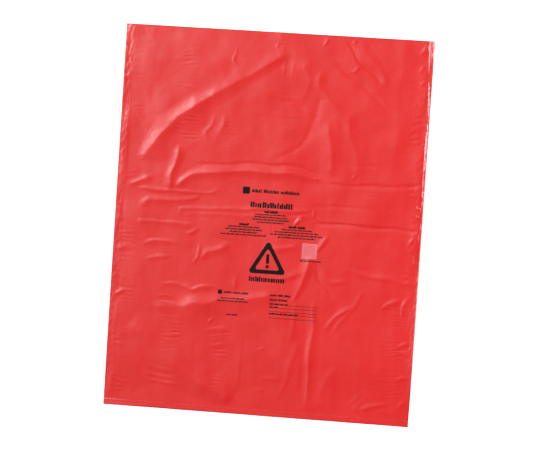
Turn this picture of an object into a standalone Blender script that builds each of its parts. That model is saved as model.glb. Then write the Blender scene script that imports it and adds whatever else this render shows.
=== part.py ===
"""Flat-laid plastic-film waste bag: a lay-flat film tube, folded at both sides, open at the mouth,
heat sealed near the bottom, with ink printed on its front wall and a square sterilising indicator.

Metres, +Z up. The bag lies on its back on z = 0, centred on the origin, with its mouth towards +Y and
its printed side up. The front wall turns about the top edge of the bottom seal to open the mouth.
"""

import math

import bpy

MM = 0.001

# The bag and its film.
BAG_WIDTH = 483 * MM
BAG_LENGTH = 603 * MM
FILM = 0.05 * MM  # one layer of film
INNER_HEIGHT = 5 * MM  # air between the two walls as the bag lies
JOINT_GAP = 0.3 * MM  # between pieces that are one film in the real bag

# The bottom: skirt, seal, and the stretch where the front wall rises from the seal.
SKIRT_LENGTH = 6.5 * MM
SEAL_WIDTH = 2.5 * MM
TOE_RUN = 26 * MM

# Print: a thin layer of ink just above the front wall.
INK = 0.1 * MM
INK_GAP = 0.1 * MM

# Measures that follow from the ones above.
HALF_WIDTH = BAG_WIDTH / 2
HALF_LENGTH = BAG_LENGTH / 2
CREASE_X = BAG_WIDTH / 6  # the bag is stored folded in three across its width
SKIRT_TOP_Y = -HALF_LENGTH + SKIRT_LENGTH
SEAL_LOW_Y = SKIRT_TOP_Y + JOINT_GAP
HINGE_Y = SEAL_LOW_Y + SEAL_WIDTH
HINGE_Z = 2 * FILM
BODY_LOW_Y = HINGE_Y + JOINT_GAP  # where both walls start
TOE_TOP_Y = HINGE_Y + TOE_RUN
FRONT_Z = FILM + INNER_HEIGHT  # underside of the front wall
FRONT_TOP_Z = FRONT_Z + FILM
WALL_HALF_WIDTH = HALF_WIDTH - FILM - JOINT_GAP  # the walls stop short of the side folds

# Colours, linear: (red, green, blue), then roughness.
FILM_RED = ((0.78, 0.045, 0.040), 0.30)
BACK_RED = ((0.74, 0.038, 0.034), 0.32)
FOLD_RED = ((0.66, 0.018, 0.014), 0.28)
SEAL_RED = ((0.80, 0.075, 0.070), 0.45)
SKIRT_RED = ((0.72, 0.030, 0.026), 0.35)
INK_BLACK = ((0.012, 0.010, 0.010), 0.55)
INK_SOFT = ((0.060, 0.014, 0.012), 0.60)
PATCH_PINK = ((0.82, 0.25, 0.24), 0.50)

# The layout of the print, in millimetres from the bag's centre.
PRINT_X = 5
NOTE_PITCH = 4.1  # from one small line to the next
NOTE_HEIGHT = 1.6
HEADING_HEIGHT = 2.6
CENTRE_NOTE = {"x": 5, "top": 19.6, "heading": 21, "lines": (49, 52, 58, 42)}
LEFT_NOTE = {"x": -36.5, "top": -1.8, "heading": 15, "lines": (50, 58, 43, 72)}
RIGHT_NOTE = {"x": 46.8, "top": -1.8, "heading": 26, "lines": (47, 69, 83, 58)}
EMBLEM_CENTRE = (4.5, -54)
EMBLEM_SIDE = 62  # of the triangle before its corners are rounded
EMBLEM_STROKE = 5.6
PATCH_CENTRE = (69, -36.8)
PATCH_SIDE = 23.5
FORM_LEFT, FORM_RIGHT = 12, 87.5


def clear_scene():
    for item in list(bpy.data.objects):
        bpy.data.objects.remove(item)


def make_collection(name):
    collection = bpy.data.collections.new(name)
    bpy.context.scene.collection.children.link(collection)
    return collection


def make_material(name, finish):
    colour, roughness = finish
    material = bpy.data.materials.new(name)
    material.use_nodes = True
    shader = material.node_tree.nodes["Principled BSDF"]
    shader.inputs["Base Color"].default_value = (*colour, 1)
    shader.inputs["Roughness"].default_value = roughness
    shader.inputs["Metallic"].default_value = 0
    return material


def add_piece(piece, name, finish, parent=None):
    """Names the piece, gives it its own material, and puts it in the bag's collection."""
    piece.name = name
    piece.data.name = name
    piece.data.materials.clear()
    piece.data.materials.append(make_material(name + "_finish", finish))
    for collection in list(piece.users_collection):
        collection.objects.unlink(piece)
    bag_collection.objects.link(piece)
    if parent is not None:
        piece.parent = parent
        piece.location -= parent.location
    return piece


def plate(name, finish, low, high, parent=None, lean=0):
    """A flat plate that fills the box from low to high, then leans about X by that angle."""
    centre = [(a + b) / 2 for a, b in zip(low, high)]
    size = [b - a for a, b in zip(low, high)]
    bpy.ops.mesh.primitive_cube_add(size=1, location=centre)
    piece = bpy.context.object
    piece.scale = size
    bpy.ops.object.transform_apply(location=False, rotation=False, scale=True)
    piece.rotation_euler[0] = lean
    return add_piece(piece, name, finish, parent)


def outline(name, finish, loops, thickness, location, parent):
    """A flat solid between outlines: each loop is a list of (x, y), and an inner loop is a hole."""
    curve = bpy.data.curves.new(name, "CURVE")
    curve.dimensions = "2D"
    curve.fill_mode = "BOTH"
    curve.extrude = thickness / 2
    for loop in loops:
        spline = curve.splines.new("POLY")
        spline.points.add(len(loop) - 1)
        spline.use_cyclic_u = True
        for point, (x, y) in zip(spline.points, loop):
            point.co = (x, y, 0, 1)
    piece = bpy.data.objects.new(name, curve)
    bpy.context.scene.collection.objects.link(piece)
    piece.location = location
    return add_piece(piece, name, finish, parent)


def rounded_triangle(side, corner, steps=6):
    """The outline of an upright equal-sided triangle about its centroid, its corners rounded."""
    circumradius = side / math.sqrt(3)
    points = []
    for k in range(3):
        towards = math.radians(90 + 120 * k)
        reach = circumradius - 2 * corner
        cx, cy = reach * math.cos(towards), reach * math.sin(towards)
        for step in range(steps + 1):
            angle = towards + math.radians(-60 + 120 * step / steps)
            points.append((cx + corner * math.cos(angle), cy + corner * math.sin(angle)))
    return points


def make_back_wall():
    """The layer of film that the bag lies on, between the side folds."""
    plate(
        "back_panel",
        BACK_RED,
        (-WALL_HALF_WIDTH, BODY_LOW_Y, 0),
        (WALL_HALF_WIDTH, HALF_LENGTH, FILM),
    )


def make_side_fold(name, side):
    """One folded edge of the tube: an upright strip that tapers down to the seal."""
    outer, inner = side * HALF_WIDTH, side * (HALF_WIDTH - FILM)
    profile = (
        (BODY_LOW_Y, 0),
        (HALF_LENGTH, 0),
        (HALF_LENGTH, FRONT_TOP_Z),
        (TOE_TOP_Y, FRONT_TOP_Z),
        (BODY_LOW_Y, HINGE_Z),
    )
    piece = outline(name, FOLD_RED, [profile], FILM, ((outer + inner) / 2, 0, 0), None)
    piece.rotation_euler = (math.radians(90), 0, math.radians(90))


def make_bottom():
    """The heat-sealed band, and the two loose layers of film below it."""
    plate("bottom_seal", SEAL_RED, (-HALF_WIDTH, SEAL_LOW_Y, 0), (HALF_WIDTH, HINGE_Y, 2 * FILM))
    plate("skirt_back_layer", SKIRT_RED, (-HALF_WIDTH, -HALF_LENGTH, 0), (HALF_WIDTH, SKIRT_TOP_Y, FILM))
    low = FILM + JOINT_GAP
    plate(
        "skirt_front_layer",
        SKIRT_RED,
        (-HALF_WIDTH, -HALF_LENGTH, low),
        (HALF_WIDTH, SKIRT_TOP_Y, low + FILM),
    )


def make_front_wall(hinge):
    """The printed layer: a toe that rises from the seal, then three strips between the creases."""
    rise = FRONT_Z - HINGE_Z
    slope = math.atan2(rise, TOE_RUN)
    length = math.hypot(rise, TOE_RUN) - 2 * JOINT_GAP
    middle_y = HINGE_Y + TOE_RUN / 2
    middle_z = HINGE_Z + rise / 2 + FILM
    plate(
        "front_toe",
        FILM_RED,
        (-WALL_HALF_WIDTH, middle_y - length / 2, middle_z - FILM / 2),
        (WALL_HALF_WIDTH, middle_y + length / 2, middle_z + FILM / 2),
        hinge,
        slope,
    )
    strip_edges = {
        "front_left_panel": (-WALL_HALF_WIDTH, -CREASE_X - JOINT_GAP / 2),
        "front_centre_panel": (-CREASE_X + JOINT_GAP / 2, CREASE_X - JOINT_GAP / 2),
        "front_right_panel": (CREASE_X + JOINT_GAP / 2, WALL_HALF_WIDTH),
    }
    for name, (left, right) in strip_edges.items():
        low = (left, TOE_TOP_Y + JOINT_GAP, FRONT_Z)
        plate(name, FILM_RED, low, (right, HALF_LENGTH, FRONT_TOP_Z), hinge)


def ink_bar(name, hinge, left, right, y, height, finish=INK_BLACK):
    """A printed bar, in millimetres: its ends, its middle height on the bag, and its own height."""
    low_z = FRONT_TOP_Z + INK_GAP
    low = (left * MM, (y - height / 2) * MM, low_z)
    return plate(name, finish, low, (right * MM, (y + height / 2) * MM, low_z + INK), hinge)


def centred_bar(name, hinge, x, y, width, height, finish=INK_BLACK):
    return ink_bar(name, hinge, x - width / 2, x + width / 2, y, height, finish)


def make_note(prefix, hinge, note):
    """A short bold heading over small lines of differing width, all centred."""
    centred_bar(prefix + "_heading", hinge, note["x"], note["top"], note["heading"], HEADING_HEIGHT)
    for number, width in enumerate(note["lines"], 1):
        y = note["top"] - NOTE_PITCH * number
        centred_bar(f"{prefix}_line_{number}", hinge, note["x"], y, width, NOTE_HEIGHT, INK_SOFT)


def make_emblem(hinge):
    """A plain triangle outline around an upright bar and a dot, with a wide bar under it."""
    z = FRONT_TOP_Z + INK_GAP + INK / 2
    place = (EMBLEM_CENTRE[0] * MM, EMBLEM_CENTRE[1] * MM - EMBLEM_SIDE * MM / 12, z)
    outer = rounded_triangle(EMBLEM_SIDE * MM, 4.4 * MM)
    inner_side = (EMBLEM_SIDE - 2 * math.sqrt(3) * EMBLEM_STROKE) * MM
    inner = rounded_triangle(inner_side, 1.4 * MM)
    outline("emblem_triangle", INK_BLACK, [outer, inner], INK, place, hinge)
    centred_bar("emblem_bar", hinge, EMBLEM_CENTRE[0], EMBLEM_CENTRE[1] + 0.5, 4.8, 15)
    dot_place = (EMBLEM_CENTRE[0] * MM, (EMBLEM_CENTRE[1] - 11.6) * MM, z)
    bpy.ops.mesh.primitive_cylinder_add(vertices=24, radius=2.6 * MM, depth=INK, location=dot_place)
    add_piece(bpy.context.object, "emblem_dot", INK_BLACK, hinge)
    centred_bar("emblem_caption", hinge, PRINT_X, -85.8, 56, 8.4)


def make_patch(hinge):
    """The square steam indicator and the small line under it."""
    centred_bar("indicator_patch", hinge, *PATCH_CENTRE, PATCH_SIDE, PATCH_SIDE, PATCH_PINK)
    ink_bar("indicator_line", hinge, 55, 88, -52.8, NOTE_HEIGHT, INK_SOFT)


def make_header(hinge):
    """A plain square and name bar, and the title bar under them."""
    centred_bar("header_square", hinge, -36, 52, 11, 11)
    ink_bar("header_name_bar", hinge, -27, 47, 52, 5.2)
    ink_bar("title_bar", hinge, -28, 38, 30.4, 8.6)


def make_maker_block(hinge):
    """The small block at the lower left: a square, a name bar and three address lines."""
    centred_bar("maker_square", hinge, -67, -110, 6.5, 6.5)
    ink_bar("maker_name_bar", hinge, -61, -22.5, -110, 3.2)
    ink_bar("maker_line_1", hinge, -65, -28, -119.6, NOTE_HEIGHT, INK_SOFT)
    ink_bar("maker_line_2", hinge, -70.5, -22.5, -123.7, NOTE_HEIGHT, INK_SOFT)
    ink_bar("origin_line", hinge, -55.5, -37.5, -145.2, NOTE_HEIGHT, INK_SOFT)


def make_form(hinge):
    """The form at the lower right: two item lines, then labels and ruled lines to write on."""
    ink_bar("item_line_1", hinge, FORM_LEFT, 44.5, -109.7, 3.4)
    ink_bar("item_line_2", hinge, FORM_LEFT, 39, -116.9, 3.4)
    ink_bar("form_label_1", hinge, FORM_LEFT, 41, -123.8, 1.9)
    ink_bar("form_label_2", hinge, FORM_LEFT, 26.4, -128.7, 1.9)
    ink_bar("form_label_3", hinge, FORM_LEFT, 58, -139.2, 1.9)
    rules = ((42, -124.6), (27.4, -129.6), (FORM_LEFT, -135.4), (59, -140), (FORM_LEFT, -145.7))
    for number, (left, y) in enumerate(rules, 1):
        ink_bar(f"form_rule_{number}", hinge, left, FORM_RIGHT, y, 0.6, INK_SOFT)


clear_scene()
bag_collection = make_collection("film_waste_bag")
mouth_hinge = bpy.data.objects.new("mouth_hinge", None)
bag_collection.objects.link(mouth_hinge)
mouth_hinge.location = (0, HINGE_Y, HINGE_Z)

make_back_wall()
make_side_fold("left_side_fold", -1)
make_side_fold("right_side_fold", 1)
make_bottom()
make_front_wall(mouth_hinge)
make_header(mouth_hinge)
make_note("centre_note", mouth_hinge, CENTRE_NOTE)
make_note("left_note", mouth_hinge, LEFT_NOTE)
make_note("right_note", mouth_hinge, RIGHT_NOTE)
make_emblem(mouth_hinge)
make_patch(mouth_hinge)
make_maker_block(mouth_hinge)
make_form(mouth_hinge)
bpy.context.view_layer.update()
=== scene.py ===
"""The looks of the flat-laid film waste bag: its film with every fold and ripple, its seal and skirt,
and its print, which lies on the film.

Metres, +Z up, in the CAD model's frame: the bag lies on z = 0, its mouth is towards +Y, and its print
faces up. The film's shape is one height field over the bag. Its layout, and that of the folds, is given
in millimetres from the bag's centre.
"""

import math

import bpy
import numpy as np
from mathutils import Euler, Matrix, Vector


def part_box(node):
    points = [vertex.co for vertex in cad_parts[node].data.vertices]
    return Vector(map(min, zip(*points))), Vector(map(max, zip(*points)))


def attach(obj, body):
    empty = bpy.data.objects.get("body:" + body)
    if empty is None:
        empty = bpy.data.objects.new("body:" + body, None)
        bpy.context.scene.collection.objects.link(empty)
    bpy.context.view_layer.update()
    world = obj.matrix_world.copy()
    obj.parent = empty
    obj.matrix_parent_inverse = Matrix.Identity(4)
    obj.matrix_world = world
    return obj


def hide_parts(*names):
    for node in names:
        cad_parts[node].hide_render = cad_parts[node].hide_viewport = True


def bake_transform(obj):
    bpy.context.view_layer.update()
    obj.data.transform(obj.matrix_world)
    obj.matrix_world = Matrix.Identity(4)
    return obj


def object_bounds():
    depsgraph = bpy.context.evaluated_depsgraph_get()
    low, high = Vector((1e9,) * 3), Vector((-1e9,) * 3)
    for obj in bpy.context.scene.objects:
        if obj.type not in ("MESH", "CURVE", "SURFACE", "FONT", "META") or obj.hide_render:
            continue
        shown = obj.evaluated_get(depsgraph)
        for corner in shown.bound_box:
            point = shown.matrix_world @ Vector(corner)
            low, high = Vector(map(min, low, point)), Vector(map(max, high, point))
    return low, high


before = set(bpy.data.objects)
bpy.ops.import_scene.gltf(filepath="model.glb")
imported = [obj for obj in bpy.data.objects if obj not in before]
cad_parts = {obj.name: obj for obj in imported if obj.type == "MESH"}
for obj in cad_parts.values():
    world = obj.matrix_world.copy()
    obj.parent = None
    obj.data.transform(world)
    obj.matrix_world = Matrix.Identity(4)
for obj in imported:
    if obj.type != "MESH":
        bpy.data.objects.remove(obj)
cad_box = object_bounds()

MM = 0.001

# Measures read from the frame, in millimetres.
bag_low, bag_high = cad_box
HALF_WIDTH = bag_high[0] / MM
MOUTH_Y = bag_high[1] / MM
BOTTOM_Y = bag_low[1] / MM
SEAL_LOW_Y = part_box("bottom_seal")[0][1] / MM
SEAL_HIGH_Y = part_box("bottom_seal")[1][1] / MM
SKIRT_HIGH_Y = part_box("skirt_back_layer")[1][1] / MM

# The film, in millimetres.
FOLD_REACH = 1.5  # how far the round of a side fold stands out past the flat film
FILM_X = HALF_WIDTH - FOLD_REACH  # where the front and back films meet the side folds
CREASE_X = FILM_X / 3  # the front film is in three strips, which meet on the storage creases
CELL = 1.25  # size of the front film's cells
SIDE_CELL = 0.6  # their size close to the side folds
SIDE_FINE = 15  # how far from the side folds they are that small
BACK_CELL = 2.5  # size of the back film's cells
FILM_LENGTH = MOUTH_Y - SEAL_HIGH_Y
BACK_Z = 0.05  # the back film lies this far above the ground
FRONT_GAP = 0.2  # between the two films where they leave the seal
FOLD_HEIGHT = 2.2  # height of the side folds
LOFT = 2.5  # height of the front film over the middle of the bag
SIDE_RUN = 40  # from a side fold to where the film has risen to its loft
TOE_RUN = 90  # the same from the seal
CREST_ROUND = 1.8  # how gently the folds turn at their crests
FOLD_END = 16  # length over which a long fold fades out at each end
SHORT_END = 0.4  # share of its own length for a short one
WEAK_REACH = 0.4  # the reach that the weakest stretch of a fold keeps, as a share
# The noises in the folds, each with its strength and the size of its lumps: how far the folds stray
# along X and along Y, how unevenly they rise and spread, and the small crumples on them.
FOLD_NOISES = [(1.6, 45), (1.6, 45), (0.16, 40), (0.018, 6)]
RIPPLE_WANDER = 1.6  # how far the ripples' crests stray, in radians
RIPPLE_SWELL = (0.5, 0.7)  # the ripples' mean height, and how much it changes
# The lumps of the film between the folds: their height, and their size along Y and X.
FILM_LUMPS = [(0.40, 60, 45), (0.075, 20, 18), (0.016, 6, 8), (0.0035, 2.8, 3.2)]
MOUTH_DROP = 1.2  # how much lower the film lies along the mouth
MOUTH_RUN = 40  # how far from the mouth it has risen again
FOLD_WAVE = 0.05  # how unevenly high the side folds are, as a share
FOLD_WAVE_SPAN = (6, 8)
FOLD_WAVE_RUN = 9  # how far into the film this reaches
RIGHT_LIFT = 1.8  # how much higher the lower part of the right border lies
RIGHT_LIFT_X = (198, 240)  # the film climbs to it over these X
RIGHT_LIFT_Y = (-100, -30)  # and it fades out over these Y
DETAIL_SIDE_RUN = (-1, 6)  # folds and noises fade in over these distances from a side fold
DETAIL_SEAL_RUN = (0, 14)  # and over these from the seal
SHOULDER_SEAL_RUN = (0, 60)  # the same for the shoulders
BACK_WRINKLE = 0.5  # height of the back film's wrinkles
BACK_CRINKLE = 0.12  # height of the smaller ones
BACK_HIGHEST = 0.9
BACK_SIDE_RUN = 12  # from a side fold to where they have their full height

# The shoulders beside the right fold: each has its width, the run over which the film climbs to it,
# where along Y it fades in and out, and y and x along its line.
SHOULDER_SLOPE = 0.43  # of their facets
SHOULDERS = [
    (3.2, 26, (-40, 90, 298, 310),
     [(-300, 237.0), (-60, 237.4), (40, 237.0), (74, 237.8), (96, 237.0), (120, 236.8), (150, 236.7),
      (166, 237.6), (190, 237.8), (200, 236.6), (214, 236.4), (222, 235.8), (240, 235.2), (262, 234.2),
      (284, 232.6), (302, 232.4)]),
    (2.4, 3, (244, 280, 300, 310), [(240, 238.6), (302, 238.2)]),
]
FOLD_FACET = (252, 282)  # over these Y the right fold's round turns into a facet of the same slope
FOLD_STEPS = 8  # faces around a side fold
FACET_START = 0.1  # the facet covers the faces that turn up by more than this, in radians
SEAL_REACH = 0.87  # the reach that a side fold keeps at the seal, as a share
SEAL_REACH_RUN = 12  # how far from the seal it has its full reach

# The seal and the skirt, in millimetres.
WELD_GAP = 0.08  # between the seal and the film that swings up beside it
WELD_TOP = 0.22  # the seal's height
WELD_CRUMPLE = 0.045  # height of the crumples on it
WELD_GRID = 1.1  # pitch of the fine grid pressed into it
WELD_PRESS = 0.01  # depth of the grid
END_INSET = 0.2  # from the bag's sides to the ends of the seal and the skirt
SKIRT_INSET = 0.1  # from the bag's bottom to the edge of the skirt
SKIRT_GAUGE = 0.05
SKIRT_WAVES = 6  # it sways in this many waves
SKIRT_SHIFT = 40  # a layer's waves are shifted by this much for a whole unit of lift
SEAL_COLUMNS, SEAL_ROWS = 880, 9
SKIRT_COLUMNS, SKIRT_ROWS = 386, 8
SKIRT_LAYERS = {  # how high each starts, how much it lifts, and how far it sways, at its free edge
    "skirt_back_layer": (0.02, 0.0, 0.12),
    "skirt_front_layer": (0.19, 0.30, 0.75),
}

# The film's colours where it is thin and where it is thick, and its roughness.
FILM_LOOK = ((0.503, 0.0105, 0.0095), (0.478, 0.0055, 0.0045), 0.26)
FOLDED_LOOK = ((0.475, 0.004, 0.004), (0.43, 0.002, 0.002), 0.25)
SEAL_LOOK = ((0.515, 0.011, 0.010), (0.48, 0.007, 0.006), 0.30)
SKIRT_LOOK = ((0.475, 0.006, 0.005), (0.45, 0.004, 0.003), 0.30)
FILM_SHINE = 0.5
SKIRT_SHINE = 0.36
# the shine of the film where shade is painted along its ends
END_SHADE_SHINE = 0.2
ROUGHNESS_SPREAD = (-0.05, 0.06)
THROUGH = 0.18  # share of the light that comes through the film
CRINKLE = 0.15 * MM  # height of the finest crinkles, in metres
TIGHT_RUN = (226, 234)  # the film grows tighter and glossier over these X, towards a side fold
TIGHT_GLOSS = 0.045  # how much less rough it is there
END_SHADE_Y = (299.9, 300.7)  # painted shade: the film is darker and duller past these Y, towards both ends, along its cut edges
END_SHADE_RED = (0.40, 0.001, 0.001)
SEAL_HIGHLIGHT_X = (-241, -200)  # the painted highlight along the seal's upper edge fades out over these X
SEAL_HIGHLIGHT_Y = (-293.4, -292.8)  # and comes in over these Y
# how strong the painted highlight along the seal is, and its colour
SEAL_HIGHLIGHT_SHARE = 0.42
SEAL_HIGHLIGHT_COLOUR = (0.75, 0.45, 0.45)

# The print, in millimetres.
INK_GAP = 0.09  # between the print and the film under it
INK = 0.06  # how thick the print is
INK_CELL = 1.2
WORD_STROKES = (7, 15)  # a word has at least the first number of strokes, and fewer than the second
STROKE_WIDTHS = (0.24, 0.40)  # as shares of the text's height
GAP_WIDTHS = (0.5, 1.5)  # between strokes, as shares of their mean
WORD_GAP = 0.45  # between words, as a share of the text's height
LAST_WORD = 3  # no word begins this close to a line's end, in heights of the text
COVERAGE = 0.74  # how much of a printed word is ink
SMALL_TEXT = 3.0  # lines lower than this have the small coverage and rises
SMALL_COVERAGE = 0.90
SMALL_RISES = (1.0, 1.5)  # heights of the strokes, as shares of a line's height
BIG_RISES = (0.76, 1.02)
EMBLEM_STROKE = 5.6
EMBLEM_CORNER = 0.11  # round of its corners, as a share of its reach
EMBLEM_CENTRE = 0.36  # height of its centre, as a share of its height
BOLD_INK = ((0.004, 0.003, 0.003), (0.012, 0.006, 0.006), 0.06)  # colour, worn colour and gloss
FINE_INK = ((0.012, 0.004, 0.004), (0.06, 0.008, 0.008), 0.10)
INK_ROUGHNESS = 0.55
PATCH_PINK = (0.51, 0.088, 0.094)
PATCH_BORDER = (0.525, 0.112, 0.118)
PATCH_BORDER_RUN = (2.4, 1.4)  # it comes in between these distances from the patch's edge
PATCH_ROUGHNESS = 0.27

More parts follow.
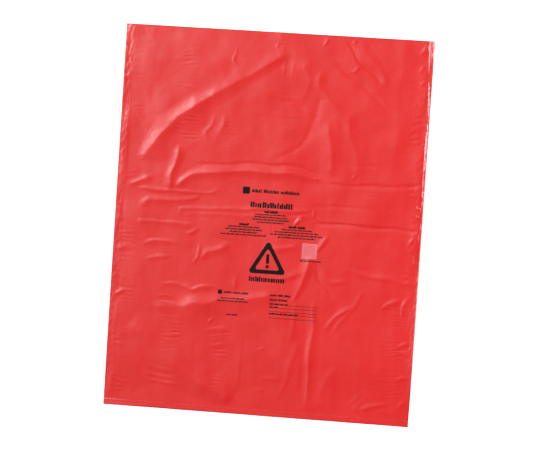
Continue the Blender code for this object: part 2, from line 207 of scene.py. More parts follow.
# The folds and creases of the front film, in millimetres: the height, the reach to the left and to the
# right of the path, and the path, with the share of the height where it isn't whole.
FOLDS = [
    # the long ridge: a steep flank that climbs from the left edge, then a soft one up to the mouth
    (3.1, 27, 45, [(-204, 85, 0.2), (-202, 94, 0.35), (-198, 104, 0.45), (-181, 127, 0.8), (-162, 146),
        (-145, 164, 0.9), (-126, 179, 0.65), (-107, 191, 0.35), (-86, 205, 0.2)]),
    (1.5, 30, 18, [(-140, 173, 0.3), (-120, 184, 0.6), (-107, 191, 0.8), (-86, 205), (-63, 221),
        (-39, 236), (-16, 251, 0.9), (-1, 261, 0.8), (15, 272, 0.4)]),
    # a crumpled line and a soft bulge below it
    (0.4, 4, 6, [(-92, 170, 0.5), (-97, 158), (-99, 148), (-106, 138), (-104, 128), (-108, 121, 0.5)]),
    (0.5, 8, 10, [(-92, 126, 0.5), (-84, 142), (-79, 158), (-82, 172, 0.5)]),
    # the short ridge beside its foot
    (2.0, 13, 16, [(-155, 43, 0.7), (-156, 60), (-157, 73), (-152, 88, 0.9), (-149, 100, 0.9),
        (-147, 119, 0.4)]),
    # the ridge across the middle, which starts in a hook
    (1.8, 11, 15, [(-147, 46, 0.4), (-145, 52, 0.8), (-138, 62, 0.9), (-121, 72), (-98, 77),
        (-68, 80, 0.9), (-39, 81, 0.8), (0, 81, 0.8), (45, 80, 0.7), (84, 74, 0.8)]),
    (-0.5, 4, 4, [(-122, 88, 0.4), (-72, 91, 0.9), (-34, 93.5), (0, 94.5), (50, 91), (82, 80, 0.6)]),
    # low ridges at the left, between the long ridge and the transverse crease
    (1.0, 9, 12, [(-228, 44, 0.6), (-206, 57), (-180, 69, 0.6)]),
    (0.75, 5, 5, [(-209, 38, 0.5), (-201, 44), (-160, 45), (-120, 45), (-95, 46, 0.7), (-76, 53, 0.4)]),
    (0.8, 7, 9, [(-201, 10, 0.4), (-193, 23, 0.9), (-184, 29), (-160, 29), (-136, 31, 0.8),
        (-116, 36, 0.7), (-105, 45, 0.4)]),
    (0.6, 4, 5, [(-137, 5, 0.5), (-136, 15, 0.8), (-128, 19), (-60, 20), (0, 23), (40, 24),
        (72, 27, 0.8)]),
    (0.35, 3, 5, [(-132, 9, 0.6), (-120, 12), (-60, 12), (0, 13), (40, 14), (72, 18, 0.7)]),
    (0.45, 3, 3, [(74, 12), (74, 29)]),
    (1.7, 3, 3, [(43, 2, 0.6), (48, 9), (54, 17, 0.5)]),
    # the transverse storage crease
    (0.7, 4, 16, [(-209, -7, 0.5), (-200, -6), (-150, -7), (-108, -5, 0.5)]),
    (-0.75, 4, 4, [(72, 6, 0.6), (110, 5.5), (170, 5), (241, 5)]),
    (-0.2, 4, 4, [(62, 30), (120, 33), (175, 35)]),
    # the crease that runs out to the right edge
    (-0.5, 3, 5, [(86, 70), (115, 70), (150, 71), (200, 74), (241, 78)]),
    # long shoulders along both sides
    (0.12, 12, 12, [(-196, -300), (-197, -120), (-196, 0), (-197, 140), (-196, 310)]),
    (0.10, 2, 3, [(-230, -290), (-232, 0), (-232, 300)]),
    (0.35, 20, 14, [(192, 70), (194, 160), (192, 230), (193, 310)]),
    (1.0, 19, 34, [(-229, 212, 0.4), (-229, 245), (-229, 275), (-229, 310, 0.9)]),
    # folds that fan out from the mouth above the middle
    (1.0, 34, 44, [(14, 250, 0.4), (8, 270, 0.8), (4, 290), (2, 308)]),
    (0.9, 30, 22, [(44, 268, 0.5), (46, 250, 0.9), (54, 232), (64, 216, 0.7)]),
    (0.35, 4, 5, [(10, 262, 0.6), (10.5, 240), (12, 222, 0.4)]),
    (0.3, 5, 5, [(23, 262, 0.7), (24, 240), (26, 218, 0.4)]),
    (0.3, 5, 4, [(41, 262, 0.8), (42, 246, 0.8), (52, 226, 0.5), (40, 196, 0.6)]),
    (-0.3, 7, 7, [(-20, 198, 0.4), (4, 192), (24, 193), (38, 189), (52, 180, 0.5)]),
    (-0.6, 13, 12, [(69, 217, 0.5), (67, 187), (60, 161), (52, 140), (35, 121), (12, 109, 0.8),
        (-8, 106, 0.4)]),
    (1.3, 22, 9, [(70, 250, 0.3), (67, 236, 0.5), (66, 222, 0.9), (74, 212), (92, 194), (108, 178, 0.8),
        (124, 160, 0.4)]),
    (-0.9, 7, 10, [(178, 190, 0.4), (152, 212, 0.8), (125, 234), (104, 247), (84, 260, 0.6)]),
    (-1.5, 5, 14, [(166, 232, 0.5), (148, 249, 0.9), (130, 264, 0.7), (118, 280, 0.45),
        (104, 297, 0.3)]),
    (0.9, 17, 13, [(173, 227, 0.4), (168, 242, 0.8), (152, 262), (138, 280, 0.6), (128, 300, 0.4)]),
    (0.7, 4, 5, [(113, 250, 0.7), (122, 250, 0.8), (130, 262, 0.5)]),
    (0.6, 4, 4, [(68, 284, 0.6), (75, 294, 0.9), (72, 300, 0.5)]),
    (0.5, 3, 3, [(116, 291, 0.8), (121, 296, 0.8)]),
    (-0.35, 2, 3, [(-7, 283, 0.6), (2, 282), (12, 280, 0.6)]),
    # the tents left and right of the longitudinal crease
    (1.2, 20, 15, [(94, 80, 0.9), (92, 117), (88, 146, 0.8), (84, 174, 0.3)]),
    (1.1, 16, 27, [(138, 82, 0.5), (129, 117, 0.8), (123, 146), (119, 172, 0.8), (112, 190, 0.3)]),
    (0.5, 3, 4, [(128, 82, 0.5), (136, 88)]),
    (-0.25, 3, 4, [(121, 102), (176, 102)]),
    # below the transverse crease, left
    (0.9, 9, 11, [(-240, -62, 0.7), (-228, -52, 0.8), (-212, -50, 0.4)]),
    (0.9, 6, 8, [(-238, -130, 0.7), (-228, -119), (-214, -117, 0.5)]),
    (0.7, 5, 7, [(-200, -45, 0.5), (-178, -42), (-160, -42), (-134, -44, 0.5)]),
    (0.5, 4, 5, [(-196, -66, 0.5), (-170, -64), (-140, -62, 0.5)]),
    (0.7, 6, 7, [(-130, -27, 0.5), (-116, -19), (-104, -8, 0.6)]),
    (-0.6, 4, 4, [(-88, -20, 0.4), (-68, -29), (-52, -34, 0.6)]),
    (1.0, 9, 11, [(-102, -70, 0.4), (-97, -58, 0.9), (-90, -50), (-78, -46), (-65, -41, 0.9),
        (-53, -37, 0.5)]),
    (0.8, 4, 6, [(-117, -76, 0.4), (-106, -60), (-104, -46), (-105, -34, 0.5)]),
    (0.7, 6, 8, [(-45, -108, 0.4), (-44, -96), (-45, -80, 0.5)]),
    (0.8, 4, 9, [(-168, -106, 0.6), (-142, -104), (-122, -108), (-112, -112), (-97, -105),
        (-74, -103, 0.6)]),
    (1.7, 16, 26, [(-174, -144, 0.3), (-157, -139, 0.6), (-127, -137, 0.8), (-113, -133), (-92, -131),
        (-71, -125), (-39, -120, 0.9), (-1, -114, 0.8), (22, -110, 0.4)]),
    (0.5, 4, 5, [(-170, -128, 0.5), (-156, -123), (-130, -126, 0.7)]),
    (0.5, 3, 4, [(-166, -135, 0.5), (-148, -133), (-124, -136, 0.7)]),
    (0.7, 3, 4, [(-84, -160), (-76, -153, 0.6)]),
    (0.45, 4, 4, [(-94, -173), (-72, -170), (-48, -168)]),
    (0.4, 4, 4, [(-86, -196), (-68, -195), (-48, -193)]),
    (0.35, 4, 4, [(-180, -232), (-150, -237), (-127, -241)]),
    (0.45, 4, 5, [(-178, -246), (-150, -250), (-126, -252)]),
    (0.5, 4, 5, [(-176, -256), (-150, -259), (-124, -260)]),
    (1.6, 34, 26, [(-214, -168, 0.3), (-190, -186, 0.8), (-150, -214), (-115, -242), (-80, -264),
        (-40, -286, 0.6)]),
    (0.25, 7, 7, [(-34, -270, 0.5), (-30, -220), (-31, -168, 0.5)]),
    # around the indicator
    (0.8, 6, 12, [(-4, -40, 0.4), (25, -35, 0.9), (57, -27, 0.6)]),
    (1.3, 8, 6, [(80, -42, 0.5), (86, -30), (91, -20), (99, -6, 0.6)]),
    (1.0, 11, 7, [(14, -87, 0.3), (38, -79, 0.8), (62, -68, 0.9)]),
    (2.0, 14, 12, [(46, -126, 0.3), (54, -104, 0.5), (60, -86, 0.9), (66, -68), (73, -50, 0.9),
        (78, -42, 0.4)]),
    (-1.3, 6, 10, [(113, -112, 0.3), (102, -96, 0.5), (89, -84, 0.8), (84, -68), (80, -48, 0.6)]),
    # the longitudinal storage crease and its neighbours
    (0.6, 8, 10, [(50, -186, 0.5), (52, -154), (54, -128, 0.6), (58, -108, 0.3)]),
    (1.1, 5, 13, [(81, -284, 0.8), (81, -225), (81, -175), (82, -144, 0.8), (83, -112, 0.4)]),
    (-0.5, 14, 6, [(71, -270, 0.7), (73, -200), (72, -150), (70, -112, 0.6)]),
    (0.5, 10, 8, [(35, -278, 0.4), (40, -262, 0.8), (49, -236), (58, -204), (65, -174, 0.6)]),
    (0.4, 4, 4, [(0, -195, 0.6), (14, -195)]),
    (0.4, 4, 4, [(0, -242, 0.6), (38, -243)]),
    (0.4, 4, 4, [(-4, -262, 0.6), (14, -262)]),
    (0.45, 8, 10, [(96, -270, 0.3), (104, -246, 0.8), (114, -226, 0.8), (132, -214, 0.3)]),
    # the long diagonal folds right of the crease
    (1.1, 7, 9, [(100, -162, 0.4), (107, -150, 0.8), (119, -134), (130, -124), (143, -115, 0.4)]),
    (0.5, 6, 6, [(111, -166, 0.4), (124, -145), (142, -117), (160, -90, 0.6)]),
    (0.8, 8, 8, [(124, -62, 0.4), (150, -66), (190, -71), (238, -80)]),
    (0.5, 5, 5, [(100, -88, 0.4), (118, -84), (140, -80, 0.5)]),
    # the right border and the lower right corner
    (1.0, 5, 7, [(184, -119, 0.4), (200, -109), (224, -101, 0.7)]),
    (1.1, 4, 4, [(222, -130, 0.6), (223, -112), (229, -94, 0.7)]),
    (0.8, 5, 5, [(212, -182, 0.5), (226, -174), (239, -170)]),
    (0.6, 4, 5, [(210, -190, 0.6), (238, -188)]),
    (0.6, 4, 4, [(213, -231), (226, -226), (239, -223)]),
    (0.7, 5, 6, [(158, -283, 0.4), (170, -278), (186, -273), (212, -269, 0.5)]),
    (0.25, 4, 6, [(146, -276), (154, -266), (163, -256)]),
    (0.25, 4, 6, [(152, -284), (162, -272), (170, -262)]),
    (0.45, 4, 5, [(222, -276), (235, -262)]),
    (0.8, 4, 4, [(219, 279), (230, 299)]),
    (0.6, 4, 4, [(219, 250), (227, 263)]),
    (0.5, 4, 5, [(222, 232), (232, 238)]),
    # nicks
    (0.6, 3, 3, [(-68, 282, 0.4), (-66, 268, 0.5), (-69, 258, 0.8), (-66, 248), (-63, 243, 0.5)]),
    (0.7, 3, 3, [(-4, 278), (0, 284, 0.5)]),
    (0.9, 3, 3, [(229, 40), (235, 44)]),
    (0.9, 3, 3, [(228, 25), (234, 29)]),
    (0.9, 4, 5, [(220, -18, 0.5), (226, -4)]),
    (0.7, 3, 4, [(232, -52), (234, -30)]),
]

# Rows of ripples, in millimetres: height, reach to each side of the path, pitch, and the path.
RIPPLES = [
    (0.08, 16, 7.5, [(-138, 282), (-138, 200)]),
    (0.15, 18, 7.5, [(-130, 172), (-130, 122)]),
    (0.11, 9, 6.0, [(-65, 192), (-65, 98)]),
    (0.05, 14, 8.0, [(-218, 300), (-218, 40)]),
    (0.10, 14, 9.0, [(-220, 20), (-220, -285)]),
    (0.14, 16, 7.0, [(-145, -150), (-142, -212)]),
    (0.15, 14, 6.5, [(-66, -160), (-62, -270)]),
    (0.16, 12, 5.5, [(-150, -112), (-150, -150)]),
    (0.18, 10, 12.0, [(222, 240), (222, 105)]),
    (0.14, 10, 10.0, [(222, 90), (222, -90)]),
    (0.10, 22, 6.0, [(208, -100), (204, -262)]),
    (0.22, 2.5, 4.5, [(78, -212), (78, -262)]),
    (0.06, 26, 7.0, [(26, 210), (26, 120)]),
]

# The camera looks straight down, from a little beside the bag's middle.
CAMERA_PLACE = (0.1230, 0.0626, 1.9976)
CAMERA_TURN = (-1.565, 3.508, 3.817)  # degrees
CAMERA_LENS = 85
CAMERA_SENSOR = 36

# The light: a pale room, brighter towards its upper left, where a wall glows, and two softboxes. Each
# softbox has its place, the point it faces, its width and height, and how bright its face is.
ROOM_LIGHT = 0.82
ROOM_SLOPE = 1.4  # how much brighter the room is straight towards LIGHT_WAY
ROOM_DARK = 0.33  # brightness of its darkest side
LIGHT_WAY = (-0.88, 0.47)
GLOW = 3.0  # brightness of the wall's middle
GLOW_WAY = (-0.45, 0.28, 0.85)
GLOW_POWER = 20  # how quickly the glow fades away from its middle
SOFTBOXES = {
    "upper_left_softbox": ((-1.35, 0.85, 1.85), (-0.05, 0.05, 0), (0.85, 1.0), 9.0),
    "right_strip": ((1.70, 0.15, 1.25), (0.20, 0.05, 0), (1.2, 0.24), 42.0),
}

GROUND = 12000  # half the ground's width, in millimetres
GROUND_Z = -0.3  # just under the bag, so that the surfaces stay apart
PAPER_SHADE = (0.93, 0.95)

NOISE_SEED = 11


def smooth_step(value, low, high):
    """0 below low, 1 above high, and a smooth rise between them."""
    t = np.clip((value - low) / (high - low), 0, 1)
    return t * t * (3 - 2 * t)


def smooth_path(points, steps=6):
    """Points along a smooth curve through the given ones: rows of x, y and strength."""
    knots = np.array([(*p, 1)[:3] for p in points], float)
    knots = np.vstack([2 * knots[0] - knots[1], knots, 2 * knots[-1] - knots[-2]])
    rows = []
    for k in range(1, len(knots) - 2):
        before, start, end, after = knots[k - 1 : k + 3]
        for t in np.arange(steps) / steps:
            bend = (2 * before - 5 * start + 4 * end - after) * t * t
            twist = (3 * start - before - 3 * end + after) * t ** 3
            rows.append(start + 0.5 * ((end - before) * t + bend + twist))
    rows.append(knots[-2])
    return np.array(rows)


class HeightField:
    """The front film's height over the ground on a regular grid, all in millimetres."""

    def __init__(self, xs, ys):
        self.xs, self.ys = xs, ys
        self.x, self.y = np.meshgrid(xs, ys)
        self.z = np.zeros_like(self.x)

    def loosen(self, random):
        """Makes the folds that are added later wander, swell and crumple as real film does."""
        noises = [size * self.soft_noise(random, span, span) for size, span in FOLD_NOISES]
        self.wander_x, self.wander_y, self.swell, self.crumple = noises

    def window(self, path, reach):
        """The rows and columns of the grid within reach of the path."""
        low, high = path[:, :2].min(0) - reach, path[:, :2].max(0) + reach
        columns = slice(*np.searchsorted(self.xs, (low[0], high[0])))
        rows = slice(*np.searchsorted(self.ys, (low[1], high[1])))
        return rows, columns

    def along(self, path, area):
        """For each grid point: distance to the left of the path, way along it, and strength there."""
        x, y = self.x[area] + self.wander_x[area], self.y[area] + self.wander_y[area]
        nearest = np.full(x.shape, np.inf)
        offset, way, strength = np.zeros((3, *x.shape))
        travelled = 0
        for start, end in zip(path[:-1], path[1:]):
            dx, dy = end[:2] - start[:2]
            length = math.hypot(dx, dy)
            t = np.clip(((x - start[0]) * dx + (y - start[1]) * dy) / length ** 2, 0, 1)
            away_x, away_y = x - start[0] - t * dx, y - start[1] - t * dy
            distance = np.hypot(away_x, away_y)
            closer = distance < nearest
            side = np.where(dx * away_y - dy * away_x >= 0, 1, -1)
            nearest = np.where(closer, distance, nearest)
            offset = np.where(closer, side * distance, offset)
            way = np.where(closer, travelled + t * length, way)
            strength = np.where(closer, start[2] + t * (end[2] - start[2]), strength)
            travelled += length
        return offset, way, strength, travelled

    def add_fold(self, height, left, right, points):
        """Adds a fold, or a crease where the height is negative."""
        path = smooth_path(points)
        area = self.window(path, max(left, right))
        offset, way, strength, length = self.along(path, area)
        away = np.hypot(offset, CREST_ROUND) - CREST_ROUND
        reach = np.where(offset > 0, left, right) * (WEAK_REACH + (1 - WEAK_REACH) * strength)
        reach *= 1 + self.swell[area]
        profile = np.maximum(1 - away / reach, 0) ** 2
        fade = min(SHORT_END * length, FOLD_END)
        ends = smooth_step(way, -1, fade) * smooth_step(length - way, -1, fade)
        rise = strength * ends * profile
        self.z[area] += height * rise * (1 + self.swell[area]) + np.sqrt(rise) * self.crumple[area]

    def add_ripples(self, height, reach, pitch, points, random):
        """Adds waves that run along the path, of uneven height and with wandering crests."""
        path = smooth_path(points)
        area = self.window(path, 2 * reach)
        offset, way, _, length = self.along(path, area)
        wander = self.soft_noise(random, 2.2 * pitch, 3 * reach)[area]
        mean, change = RIPPLE_SWELL
        swell = mean + change * self.soft_noise(random, 1.6 * pitch, 0.8 * reach)[area]
        wave = np.cos(2 * math.pi * way / pitch + RIPPLE_WANDER * wander)
        ends = smooth_step(way, 0, pitch) * smooth_step(length - way, 0, pitch)
        self.z[area] += height * np.maximum(swell, 0) * wave * ends * np.exp(-((offset / reach) ** 2))

    def soft_noise(self, random, reach_y, reach_x):
        """Smooth noise of unit size, whose lumps are about that large along Y and X."""
        noise = np.fft.rfft2(random.standard_normal(self.z.shape))
        fy = np.fft.fftfreq(self.z.shape[0], self.ys[1] - self.ys[0])[:, None]
        fx = np.fft.rfftfreq(self.z.shape[1], CELL)[None, :]
        noise *= np.exp(-2 * ((fy * reach_y) ** 2 + (fx * reach_x) ** 2))
        soft = np.fft.irfft2(noise, self.z.shape)
        return soft / soft.std()

    def at(self, x, y):
        """Height at any place, by straight lines between grid points."""
        column = np.clip(np.interp(x, self.xs, np.arange(len(self.xs))), 0, len(self.xs) - 1.001)
        row = np.clip(np.interp(y, self.ys, np.arange(len(self.ys))), 0, len(self.ys) - 1.001)
        i, j = row.astype(int), column.astype(int)
        v, u = row - i, column - j
        low = self.z[i, j] * (1 - u) + self.z[i, j + 1] * u
        high = self.z[i + 1, j] * (1 - u) + self.z[i + 1, j + 1] * u
        return low * (1 - v) + high * v


def shoulder(field, width, run, ends, line):
    """The film's steep drop beside the right fold: a facet of even slope, along a wavering line."""
    across = field.x - np.interp(field.y, *zip(*line))
    drop = np.interp(field.y, ends, (0, 1, 1, 0))
    facet = SHOULDER_SLOPE * (width - np.clip(across, 0, width))
    return drop * facet * smooth_step(across, -run, 0)


def front_field():
    """The front film: lifted by the air in the bag, folded, creased and rippled."""
    random = np.random.default_rng(NOISE_SEED)
    stops = (-FILM_X, SIDE_FINE - FILM_X, -CREASE_X, CREASE_X, FILM_X - SIDE_FINE, FILM_X)
    cells = (SIDE_CELL, CELL, CELL, CELL, SIDE_CELL)
    runs = [np.linspace(start, end, 1 + round((end - start) / cell))[:-1]
            for start, end, cell in zip(stops, stops[1:], cells)]
    xs = np.append(np.concatenate(runs), FILM_X)
    ys = np.linspace(SEAL_HIGH_Y, MOUTH_Y, 1 + round(FILM_LENGTH / CELL))
    field = HeightField(xs, ys)
    field.loosen(random)
    for fold in FOLDS:
        field.add_fold(*fold)
    for ripples in RIPPLES:
        field.add_ripples(*ripples, random)
    for height, reach_y, reach_x in FILM_LUMPS:
        field.z += height * field.soft_noise(random, reach_y, reach_x)
    from_side = FILM_X - np.abs(field.x)
    from_seal = field.y - SEAL_HIGH_Y
    mouth_dip = MOUTH_DROP * np.exp(-((MOUTH_Y - field.y) / MOUTH_RUN) ** 2)
    loft = (LOFT - FOLD_HEIGHT) * smooth_step(from_side, 0, SIDE_RUN)
    near_side = np.exp(-((from_side / FOLD_WAVE_RUN) ** 2))
    wave = FOLD_WAVE * near_side * field.soft_noise(random, *FOLD_WAVE_SPAN)
    climb = np.interp(field.x, RIGHT_LIFT_X, (0, 1)) ** 2
    right_lift = RIGHT_LIFT * climb * (1 - smooth_step(field.y, *RIGHT_LIFT_Y))
    fold_height = FOLD_HEIGHT * (1 + wave) - mouth_dip + right_lift
    details = field.z * smooth_step(from_side, *DETAIL_SIDE_RUN)
    details *= smooth_step(from_seal, *DETAIL_SEAL_RUN)
    shoulders = sum(shoulder(field, *measures) for measures in SHOULDERS)
    shoulders *= smooth_step(from_seal, *SHOULDER_SEAL_RUN)
    base = (fold_height + loft) * smooth_step(from_seal, 0, TOE_RUN)
    field.z = BACK_Z + FRONT_GAP + np.maximum(base + details + shoulders, 0)
    return field


def back_field():
    """The back film: it lies on the ground, with low wrinkles."""
    random = np.random.default_rng(NOISE_SEED + 1)
    xs = np.linspace(-FILM_X, FILM_X, 1 + round(2 * FILM_X / BACK_CELL))
    ys = np.linspace(SEAL_HIGH_Y, MOUTH_Y, 1 + round(FILM_LENGTH / BACK_CELL))
    field = HeightField(xs, ys)
    field.z = BACK_WRINKLE * np.abs(field.soft_noise(random, 40, 25)) ** 1.5
    field.z += BACK_CRINKLE * np.abs(field.soft_noise(random, 9, 7))
    shares = smooth_step(FILM_X - np.abs(field.x), 0, BACK_SIDE_RUN)
    shares *= smooth_step(field.y - SEAL_HIGH_Y, 0, TOE_RUN)
    field.z = BACK_Z + np.minimum(field.z, BACK_HIGHEST) * shares
    return field


def add_object(name, data):
    added = bpy.data.objects.new(name, data)
    bpy.context.scene.collection.objects.link(added)
    return added


def mesh_object(name, points, faces, smooth=True):
    """A mesh from points and faces in millimetres, with a UV map of places on the flat bag."""
    mesh = bpy.data.meshes.new(name)
    places = np.asarray(points, float) * MM
    mesh.from_pydata(places.tolist(), [], faces)
    corners = np.zeros(len(mesh.loops), int)
    mesh.loops.foreach_get("vertex_index", corners)
    uv_map = mesh.uv_layers.new(name="flat_bag")
    uv_map.data.foreach_set("uv", places[corners, :2].ravel())
    mesh.polygons.foreach_set("use_smooth", [smooth] * len(mesh.polygons))
    mesh.update()
    return add_object(name, mesh)


def grid_faces(rows, columns, flip=False, first=0):
    """Quads between the points of a grid that is stored row by row."""
    index = np.arange(rows * columns).reshape(rows, columns) + first
    quads = np.stack([index[:-1, :-1], index[:-1, 1:], index[1:, 1:], index[1:, :-1]], -1).reshape(-1, 4)
    return (quads[:, ::-1] if flip else quads).tolist()


def film_sheet(name, field, left, right):
    """The part of a height field between two X places, as one sheet."""
    near = 0.01
    columns = (field.xs > left - near) & (field.xs < right + near)
    x, y, z = (grid[:, columns] for grid in (field.x, field.y, field.z))
    points = np.stack([x, y, z], -1).reshape(-1, 3)
    return mesh_object(name, points, grid_faces(*x.shape))


def finish_piece(piece, body, material, nodes):
    """Gives a piece its material and slot, and puts it on its body in place of its CAD nodes."""
    piece.data.materials.append(material)
    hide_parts(*nodes)
    if body is not None:
        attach(piece, body)
    return piece


def blend_strip(piece):
    """Bakes the place of a piece on a side strip into its mesh."""
    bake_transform(piece)


def connect(tree, socket, value):
    """Links a socket to another one, or sets it where the value is a plain one."""
    if isinstance(value, bpy.types.NodeSocket):
        tree.links.new(value, socket)
    else:
        socket.default_value = value


def add_node(tree, kind, label, **inputs):
    """A shader node, whose inputs are given by their names."""
    node = tree.nodes.new(kind)
    node.label = label
    for key, value in inputs.items():
        connect(tree, node.inputs[key.replace("_", " ")], value)
    return node


def calculate(tree, operation, label, *values, kind="ShaderNodeMath"):
    """The result of a calculation with the values."""
    node = add_node(tree, kind, label)
    node.operation = operation
    for socket, value in zip(node.inputs, values):
        connect(tree, socket, value)
    return node.outputs["Value"] if operation == "DOT_PRODUCT" else node.outputs[0]


def calculate_vector(tree, operation, label, *values):
    return calculate(tree, operation, label, *values, kind="ShaderNodeVectorMath")


def mixed_colour(tree, label, share, first, second):
    """A colour between two others, each a socket or red, green and blue."""
    node = add_node(tree, "ShaderNodeMix", label)
    node.data_type = "RGBA"
    for key, value in (("Factor", share), ("A", first), ("B", second)):
        connect(tree, node.inputs[key], (*value, 1) if isinstance(value, tuple) else value)
    return node.outputs["Result"]


def flat_place(tree):
    """A socket with each point's place on the flat bag, in metres."""
    node = add_node(tree, "ShaderNodeUVMap", "place on the flat bag")
    node.uv_map = "flat_bag"
    return node.outputs[0]


def in_metres(places):
    return [place * MM for place in places]


def new_material(name):
    """A material that uses nodes, with its node tree and shader."""
    material = bpy.data.materials.new(name)
    material.use_nodes = True
    tree = material.node_tree
    return material, tree, tree.nodes["Principled BSDF"]


def map_range(tree, label, value, old, new):
    """A value mapped from one range to another, and kept within it."""
    node = add_node(tree, "ShaderNodeMapRange", label, Value=value)
    for key, end in zip(("From Min", "From Max", "To Min", "To Max"), (*old, *new)):
        node.inputs[key].default_value = end
    return node.outputs[0]


def film_material(name, look, shine=FILM_SHINE):
    """Glossy coloured film: faint bands along its length, fine crinkles, light through it, and painted
    shade along its ends.
    """
    thin, deep, roughness = look
    material, tree, shader = new_material(name)
    place = flat_place(tree)
    bands = calculate_vector(tree, "MULTIPLY", "stretched along the bag", place, (1.0, 0.06, 1.0))
    gauge = add_node(tree, "ShaderNodeTexNoise", "film gauge", Vector=bands, Scale=90.0, Detail=3.0)
    haze = add_node(tree, "ShaderNodeTexNoise", "haze", Vector=place, Scale=22.0, Detail=7.0,
                    Roughness=0.66)
    crinkle = add_node(tree, "ShaderNodeTexNoise", "crinkle", Vector=place, Scale=260.0, Detail=3.0)
    tone = add_node(tree, "ShaderNodeMix", "gauge and haze", Factor=0.5,
                    A=gauge.outputs["Fac"], B=haze.outputs["Fac"])
    thinness = map_range(tree, "tone", tone.outputs[0], (0.35, 0.65), (0, 1))
    colour = mixed_colour(tree, "film colour", thinness, deep, thin)
    distance = calculate_vector(tree, "ABSOLUTE", "distance from the middle", place)
    away = add_node(tree, "ShaderNodeSeparateXYZ", "across and along", Vector=distance)
    # painted shade: a darker, duller band along the film's cut edges at both ends
    end_shade = map_range(tree, "painted shade at the ends", away.outputs["Y"], in_metres(END_SHADE_Y), (0, 1))
    rough = [roughness + change for change in ROUGHNESS_SPREAD]
    gloss = map_range(tree, "gloss", haze.outputs["Fac"], (0, 1), rough)
    tight = map_range(tree, "tight beside the fold", away.outputs["X"], in_metres(TIGHT_RUN),
                      (0, TIGHT_GLOSS))
    relief = add_node(tree, "ShaderNodeBump", "crinkles", Height=crinkle.outputs["Fac"], Strength=0.5,
                      Distance=CRINKLE)
    looks = {
        "Base Color": mixed_colour(tree, "darker with the painted end shade", end_shade, colour, END_SHADE_RED),
        "Specular IOR Level": map_range(tree, "duller with the painted end shade", end_shade, (0, 1), (shine, END_SHADE_SHINE)),
        "Roughness": calculate(tree, "SUBTRACT", "glossier where it is tight", gloss, tight),
        "Normal": relief.outputs[0],
    }
    for key, value in looks.items():
        connect(tree, shader.inputs[key], value)
    glow = add_node(tree, "ShaderNodeBsdfTranslucent", "light through the film", Color=(*thin, 1))
    film = add_node(tree, "ShaderNodeMixShader", "film", Fac=THROUGH)
    tree.links.new(shader.outputs[0], film.inputs[1])
    tree.links.new(glow.outputs[0], film.inputs[2])
    tree.links.new(film.outputs[0], tree.nodes["Material Output"].inputs["Surface"])
    return material


def make_film(field, back):
    """The back film, and the front film in its three strips."""
    red = film_material("red_film", FILM_LOOK)
    back_film = film_sheet("back_film", back, -FILM_X, FILM_X)
    finish_piece(back_film, "back_wall", red, ["back_panel"])
    strips = {
        "front_left_film": (-FILM_X, -CREASE_X, ["front_left_panel"]),
        "front_centre_film": (-CREASE_X, CREASE_X, ["front_centre_panel", "front_toe"]),
        "front_right_film": (CREASE_X, FILM_X, ["front_right_panel"]),
    }
    for name, (left, right, nodes) in strips.items():
        film = film_sheet(name, field, left, right)
        centre = name == "front_centre_film"
        finish_piece(film, "front_wall" if centre else None, red, nodes)
        if not centre:
            blend_strip(film)


def fold_points(side, top, ys):
    """Rows of points around a side fold, from the back film up to the front film's edge."""
    middle, half = (top + BACK_Z) / 2, (top - BACK_Z) / 2
    full = smooth_step(ys, SEAL_HIGH_Y, SEAL_HIGH_Y + SEAL_REACH_RUN)
    reach = FOLD_REACH * (SEAL_REACH + (1 - SEAL_REACH) * full)
    turns = np.linspace(-math.pi / 2, math.pi / 2, FOLD_STEPS + 1)
    out = reach[:, None] * np.cos(turns)
    z = middle[:, None] + half[:, None] * np.sin(turns)
    if side > 0:
        facet = np.where(turns > FACET_START, top[:, None] - SHOULDER_SLOPE * out, z)
        z += smooth_step(ys, *FOLD_FACET)[:, None] * (facet - z)
    y = np.repeat(ys[:, None], FOLD_STEPS + 1, 1)
    return np.stack([side * (FILM_X + out), y, z], -1).reshape(-1, 3)


def make_side_folds(field):
    """The round folds that join the front and back films along both edges."""
    material = film_material("folded_film", FOLDED_LOOK)
    edges = {"left_side_fold": (-1, field.z[:, 0]), "right_side_fold": (1, field.z[:, -1])}
    for name, (side, top) in edges.items():
        faces = grid_faces(len(field.ys), FOLD_STEPS + 1, flip=side < 0)
        piece = mesh_object(name, fold_points(side, top, field.ys), faces)
        finish_piece(piece, "back_wall", material, [name])


def slab_parts(xs, ys, top, bottom):
    """Points and faces of a thin closed slab between two surfaces, each a function of x and y."""
    x, y = np.meshgrid(xs, ys)
    upper = np.stack([x, y, top(x, y)], -1).reshape(-1, 3)
    lower = np.stack([x, y, bottom(x, y)], -1).reshape(-1, 3)
    rows, columns = x.shape
    faces = grid_faces(rows, columns) + grid_faces(rows, columns, flip=True, first=len(upper))
    index = np.arange(rows * columns).reshape(rows, columns)
    rim = np.concatenate([index[0, :], index[1:, -1], index[-1, -2::-1], index[-2:0:-1, 0]])
    for start, end in zip(rim, np.roll(rim, -1)):
        faces.append([int(start), int(start) + len(upper), int(end) + len(upper), int(end)])
    return np.vstack([upper, lower]), faces


def add_seal_highlight(material):
    """Paints a highlight on the film along the seal's upper edge, most at its left end."""
    tree = material.node_tree
    base = tree.nodes["Principled BSDF"].inputs["Base Color"]
    place = add_node(tree, "ShaderNodeSeparateXYZ", "x and y", Vector=flat_place(tree))
    left = map_range(tree, "strongest at the left", place.outputs["X"], in_metres(SEAL_HIGHLIGHT_X),
                     (SEAL_HIGHLIGHT_SHARE, 0))
    band = map_range(tree, "upper edge", place.outputs["Y"], in_metres(SEAL_HIGHLIGHT_Y), (0, 1))
    share = calculate(tree, "MULTIPLY", "share of painted highlight", left, band)
    film_colour = base.links[0].from_socket
    connect(tree, base, mixed_colour(tree, "whitened film", share, film_colour, SEAL_HIGHLIGHT_COLOUR))


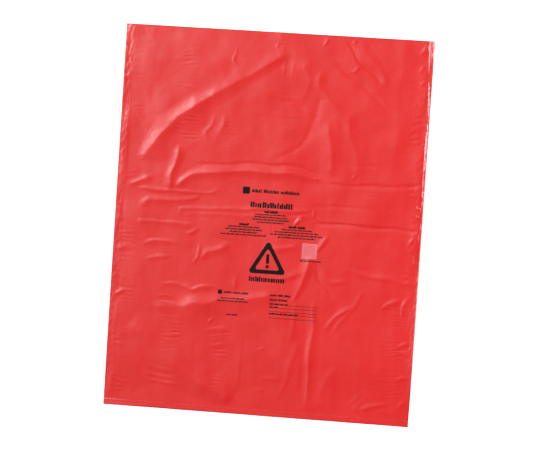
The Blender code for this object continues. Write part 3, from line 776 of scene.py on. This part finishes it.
def make_seal(random):
    """The welded band of both films, pressed with a fine grid."""
    material = film_material("seal_film", SEAL_LOOK)
    # a painted highlight along the seal's upper edge
    add_seal_highlight(material)
    crumple_xs = np.linspace(-HALF_WIDTH, HALF_WIDTH, 1 + round(2 * HALF_WIDTH / CELL))
    crumple = HeightField(crumple_xs, np.linspace(BOTTOM_Y, SEAL_HIGH_Y, SEAL_ROWS))
    crumple.z = WELD_CRUMPLE * crumple.soft_noise(random, 2.5, 4)

    def top(x, y):
        grid = np.sin(math.pi * x / WELD_GRID) * np.sin(math.pi * (y - SEAL_LOW_Y) / WELD_GRID)
        return BACK_Z + WELD_TOP + WELD_PRESS * grid + crumple.at(x, y)

    def underside(x, y):
        return np.full_like(x, BACK_Z)

    xs = np.linspace(END_INSET - HALF_WIDTH, HALF_WIDTH - END_INSET, SEAL_COLUMNS)
    ys = np.linspace(SKIRT_HIGH_Y, SEAL_HIGH_Y - WELD_GAP, SEAL_ROWS)
    seal = mesh_object("bottom_weld", *slab_parts(xs, ys, top, underside))
    finish_piece(seal, "back_wall", material, ["bottom_seal"])


def skirt_surfaces(phases, start, lift, reach):
    """The top and the underside of a skirt layer, which sways more towards its free edge."""
    def underside(x, y):
        free = (SKIRT_HIGH_Y - y) / (SKIRT_HIGH_Y - BOTTOM_Y)
        along = x + SKIRT_SHIFT * lift
        waves = sum(np.sin(along / (11 + 9 * k) + phase) for k, phase in enumerate(phases))
        sway = reach * (1 + waves / len(phases))
        return BACK_Z + start + lift * free + sway * free

    def top(x, y):
        return underside(x, y) + SKIRT_GAUGE

    return top, underside


def make_skirt(phases):
    """The two loose layers of film below the seal."""
    material = film_material("skirt_film", SKIRT_LOOK, shine=SKIRT_SHINE)
    xs = np.linspace(END_INSET - HALF_WIDTH, HALF_WIDTH - END_INSET, SKIRT_COLUMNS)
    ys = np.linspace(BOTTOM_Y + SKIRT_INSET, SKIRT_HIGH_Y, SKIRT_ROWS)
    for node, measures in SKIRT_LAYERS.items():
        parts = slab_parts(xs, ys, *skirt_surfaces(phases, *measures))
        layer = mesh_object(node.replace("layer", "film"), *parts)
        finish_piece(layer, "back_wall", material, [node])


def make_bottom():
    random = np.random.default_rng(NOISE_SEED + 2)
    phases = random.uniform(0, 2 * math.pi, SKIRT_WAVES)
    make_seal(random)
    make_skirt(phases)


def ink_surfaces(field):
    """The top and the underside of the print, which lies on the film."""
    def top(x, y):
        return field.at(x, y) + INK_GAP + INK

    def underside(x, y):
        return field.at(x, y) + INK_GAP

    return top, underside


def flat_box(name):
    """Left, right, low and high sides of a CAD node seen from above, in millimetres."""
    low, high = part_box(name)
    return low[0] / MM, high[0] / MM, low[1] / MM, high[1] / MM


def text_blocks(box, random):
    """Plain upright blocks the size of letter strokes, in words, that fill a box from end to end."""
    left, right, low, high = box
    height = high - low
    small = height < SMALL_TEXT
    short, tall = SMALL_RISES if small else BIG_RISES
    coverage = SMALL_COVERAGE if small else COVERAGE
    strokes, x, left_in_word = [], 0.0, random.integers(*WORD_STROKES)
    while x < right - left:
        width = height * random.uniform(*STROKE_WIDTHS)
        rise = height * random.choice((short, short, tall))
        strokes.append((x, x + width, rise))
        x += width * (1 + (1 - coverage) / coverage * random.uniform(*GAP_WIDTHS))
        left_in_word -= 1
        if left_in_word == 0 and right - left - x > LAST_WORD * height:
            x += WORD_GAP * height
            left_in_word = random.integers(*WORD_STROKES)
    stretch = (right - left) / strokes[-1][1]
    return [(left + start * stretch, left + end * stretch, low, low + rise)
            for start, end, rise in strokes]


def print_blocks(name, blocks, field):
    """Thin blocks of ink on the film, as one mesh: each has its left, right, low and high side."""
    top, underside = ink_surfaces(field)
    points, faces = [], []
    for left, right, low, high in blocks:
        xs = np.linspace(left, right, 1 + math.ceil((right - left) / INK_CELL))
        ys = np.linspace(low, high, 1 + math.ceil((high - low) / INK_CELL))
        block_points, block_faces = slab_parts(xs, ys, top, underside)
        first = sum(map(len, points))
        points.append(block_points)
        faces += [[first + corner for corner in face] for face in block_faces]
    return mesh_object(name, np.vstack(points), faces, smooth=False)


def print_rings(name, loops, field, hole):
    """A thin plate of ink on the film, between loops of (x, y) that lie one inside the other."""
    top, underside = ink_surfaces(field)
    flat, count = np.vstack(loops), len(loops[0])
    x, y = flat.T
    points = np.vstack([np.column_stack([x, y, top(x, y)]), np.column_stack([x, y, underside(x, y)])])
    below = len(flat)
    faces = []
    for k in range(count):
        for ring in range(len(loops) - 1):
            start, end = ring * count + k, ring * count + (k + 1) % count
            quad = [start, end, end + count, start + count]
            faces += [quad, [corner + below for corner in reversed(quad)]]
        start, end = k, (k + 1) % count
        faces.append([start, start + below, end + below, end])
        if hole:
            start, end = (below - count + corner for corner in (start, end))
            faces.append([end, end + below, start + below, start])
    if not hole:
        middle = list(range(below - count, below))
        faces += [middle, [corner + below for corner in reversed(middle)]]
    return mesh_object(name, points, faces, smooth=False)


def direction(turn):
    return np.array([math.cos(turn), math.sin(turn)])


def rounded_polygon(sides, reach, corner, turn):
    """An even-sided outline with rounded corners about (0, 0), with extra points along its sides."""
    points = []
    half_turn = math.pi / sides
    for k in range(sides):
        towards = turn + 2 * half_turn * k
        middle = (reach - corner / math.cos(half_turn)) * direction(towards)
        swings = np.linspace(-half_turn, half_turn, 7)
        points += [middle + corner * direction(towards + swing) for swing in swings]
    outline = []
    for start, end in zip(points, points[1:] + points[:1]):
        steps = max(1, math.ceil(math.hypot(*(end - start)) / (reach / 24)))
        outline += [start + (end - start) * step / steps for step in range(steps)]
    return np.array(outline)


def fitted(outline, box):
    """An outline moved and stretched to fill a box."""
    left, right, low, high = box
    share = (outline - outline.min(0)) / (outline.max(0) - outline.min(0))
    return np.array([left, low]) + share * np.array([right - left, high - low])


def filled(outline, rings=6):
    """An outline and smaller copies of it, down to a small one around its middle."""
    middle = (outline.max(0) + outline.min(0)) / 2
    return [middle + (outline - middle) * scale for scale in np.linspace(1, 1 / rings, rings)]


def emblem_loops(box):
    """The emblem's triangular ring, as loops from its outer edge to its inner one."""
    left, right, low, high = box
    outer = fitted(rounded_polygon(3, 1.0, EMBLEM_CORNER, math.pi / 2), box)
    centre = np.array([(left + right) / 2, low + (high - low) * EMBLEM_CENTRE])
    scale = 1 - 2 * math.sqrt(3) * EMBLEM_STROKE / (right - left)
    return [centre + (outer - centre) * share for share in np.linspace(1, scale, 5)]


def ink_material(name, colour, worn, gloss):
    """Ink on film: matt, a little uneven, and thinner in specks."""
    material, tree, shader = new_material(name)
    place = flat_place(tree)
    specks = add_node(tree, "ShaderNodeTexNoise", "specks", Vector=place, Scale=900.0, Detail=2.0)
    wear = map_range(tree, "wear", specks.outputs["Fac"], (0.45, 0.75), (0, 1))
    connect(tree, shader.inputs["Base Color"], mixed_colour(tree, "ink and specks", wear, colour, worn))
    shader.inputs["Roughness"].default_value = INK_ROUGHNESS
    shader.inputs["Specular IOR Level"].default_value = gloss
    return material


def indicator_material(box):
    """Pale ink, a little lighter in a narrow border, with the film's gloss."""
    left, right, low, high = in_metres(box)
    material = film_material("indicator_ink", (PATCH_PINK, PATCH_PINK, PATCH_ROUGHNESS))
    tree = material.node_tree
    middle = ((left + right) / 2, (low + high) / 2, 0)
    away = calculate_vector(tree, "SUBTRACT", "from the middle", flat_place(tree), middle)
    distance = calculate_vector(tree, "ABSOLUTE", "distance in x and y", away)
    split = add_node(tree, "ShaderNodeSeparateXYZ", "x and y", Vector=distance)
    larger = calculate(tree, "MAXIMUM", "larger of both", split.outputs["X"], split.outputs["Y"])
    edge = [(right - left) / 2 - inset * MM for inset in PATCH_BORDER_RUN]
    border = map_range(tree, "border", larger, edge, (0, 1))
    tone = mixed_colour(tree, "ink and border", border, PATCH_PINK, PATCH_BORDER)
    connect(tree, tree.nodes["Principled BSDF"].inputs["Base Color"], tone)
    return material


def printed_piece(node, box, random, field):
    """The mesh of one printed mark."""
    name = node + "_print"
    if node == "emblem_triangle":
        return print_rings(name, emblem_loops(box), field, hole=True)
    if node == "emblem_dot":
        return print_rings(name, filled(fitted(rounded_polygon(4, 1, 0.7, 0), box)), field, hole=False)
    if node.endswith("_square"):
        outline = fitted(rounded_polygon(4, 1, 0.16, math.pi / 4), box)
        return print_rings(name, filled(outline), field, hole=False)
    if node in ("indicator_patch", "emblem_bar") or "_rule_" in node:
        return print_blocks(name, [box], field)
    return print_blocks(name, text_blocks(box, random), field)


def make_print(field):
    """Every printed line, word, mark and rule, lying on the film. The words are plain blocks."""
    random = np.random.default_rng(NOISE_SEED + 3)
    inks = {
        "bold_ink": ink_material("bold_ink_print", *BOLD_INK),
        "fine_ink": ink_material("fine_ink_print", *FINE_INK),
        "indicator": indicator_material(flat_box("indicator_patch")),
    }
    for node, cad in sorted(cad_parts.items()):
        slot = cad.data.materials[0].name.split(".")[0]
        if slot not in inks:
            continue
        box = flat_box(node)
        piece = printed_piece(node, box, random, field)
        past_crease = box[1] > CREASE_X
        finish_piece(piece, None if past_crease else "front_wall", inks[slot], [node])
        if past_crease:
            blend_strip(piece)


def add_softbox(name, place, target, size, radiance):
    """A rectangular softbox. Its power follows from its size and from how bright its face is."""
    data = bpy.data.lights.new(name, "AREA")
    data.shape = "RECTANGLE"
    data.size, data.size_y = size
    data.energy = radiance * math.pi * size[0] * size[1]
    light = add_object(name, data)
    light.location = place
    towards = Vector(target) - light.location
    light.rotation_euler = towards.to_track_quat("-Z", "Y").to_euler()


def make_room():
    """The room around the bag: brighter on one side, where a wall glows."""
    world = bpy.data.worlds.new("white_room")
    world.use_nodes = True
    tree = world.node_tree
    way = add_node(tree, "ShaderNodeTexCoord", "direction in the room").outputs["Generated"]
    bright_side = (*Vector(LIGHT_WAY).normalized(), 0)
    tilt = calculate_vector(tree, "DOT_PRODUCT", "towards the bright side", way, bright_side)
    slope = calculate(tree, "MULTIPLY_ADD", "room slope", tilt, ROOM_SLOPE, ROOM_LIGHT)
    room = calculate(tree, "MAXIMUM", "darkest side", slope, ROOM_DARK)
    glow_way = Vector(GLOW_WAY).normalized()
    wall = calculate_vector(tree, "DOT_PRODUCT", "towards the glowing wall", way, glow_way)
    facing = calculate(tree, "MAXIMUM", "facing the wall", wall, 0)
    fade = calculate(tree, "POWER", "fade", facing, GLOW_POWER)
    background = tree.nodes["Background"]
    background.inputs["Color"].default_value = (1, 1, 1, 1)
    strength = calculate(tree, "MULTIPLY_ADD", "room and glow", fade, GLOW, room)
    tree.links.new(strength, background.inputs["Strength"])
    bpy.context.scene.world = world


def make_ground():
    """White paper under the bag."""
    corners = [(-GROUND, -GROUND), (GROUND, -GROUND), (GROUND, GROUND), (-GROUND, GROUND)]
    ground = mesh_object("ground", [(x, y, GROUND_Z) for x, y in corners], [[0, 1, 2, 3]])
    material, tree, shader = new_material("white_paper")
    grain = add_node(tree, "ShaderNodeTexNoise", "paper grain", Scale=400.0, Detail=2.0)
    shade = map_range(tree, "paper shade", grain.outputs["Fac"], (0, 1), PAPER_SHADE)
    tree.links.new(shade, shader.inputs["Base Color"])
    shader.inputs["Roughness"].default_value = 0.9
    ground.data.materials.append(material)


def make_studio():
    bpy.context.scene.view_settings.view_transform = "Standard"
    make_room()
    for name, softbox in SOFTBOXES.items():
        add_softbox(name, *softbox)
    make_ground()


def make_camera():
    data = bpy.data.cameras.new("camera")
    data.lens = CAMERA_LENS
    data.sensor_width = CAMERA_SENSOR
    camera = add_object("camera", data)
    camera.location = CAMERA_PLACE
    camera.rotation_euler = Euler([math.radians(a) for a in CAMERA_TURN])
    bpy.context.scene.camera = camera


make_camera()
make_studio()
front = front_field()
make_film(front, back_field())
make_side_folds(front)
make_bottom()
make_print(front)

bpy.context.view_layer.update()
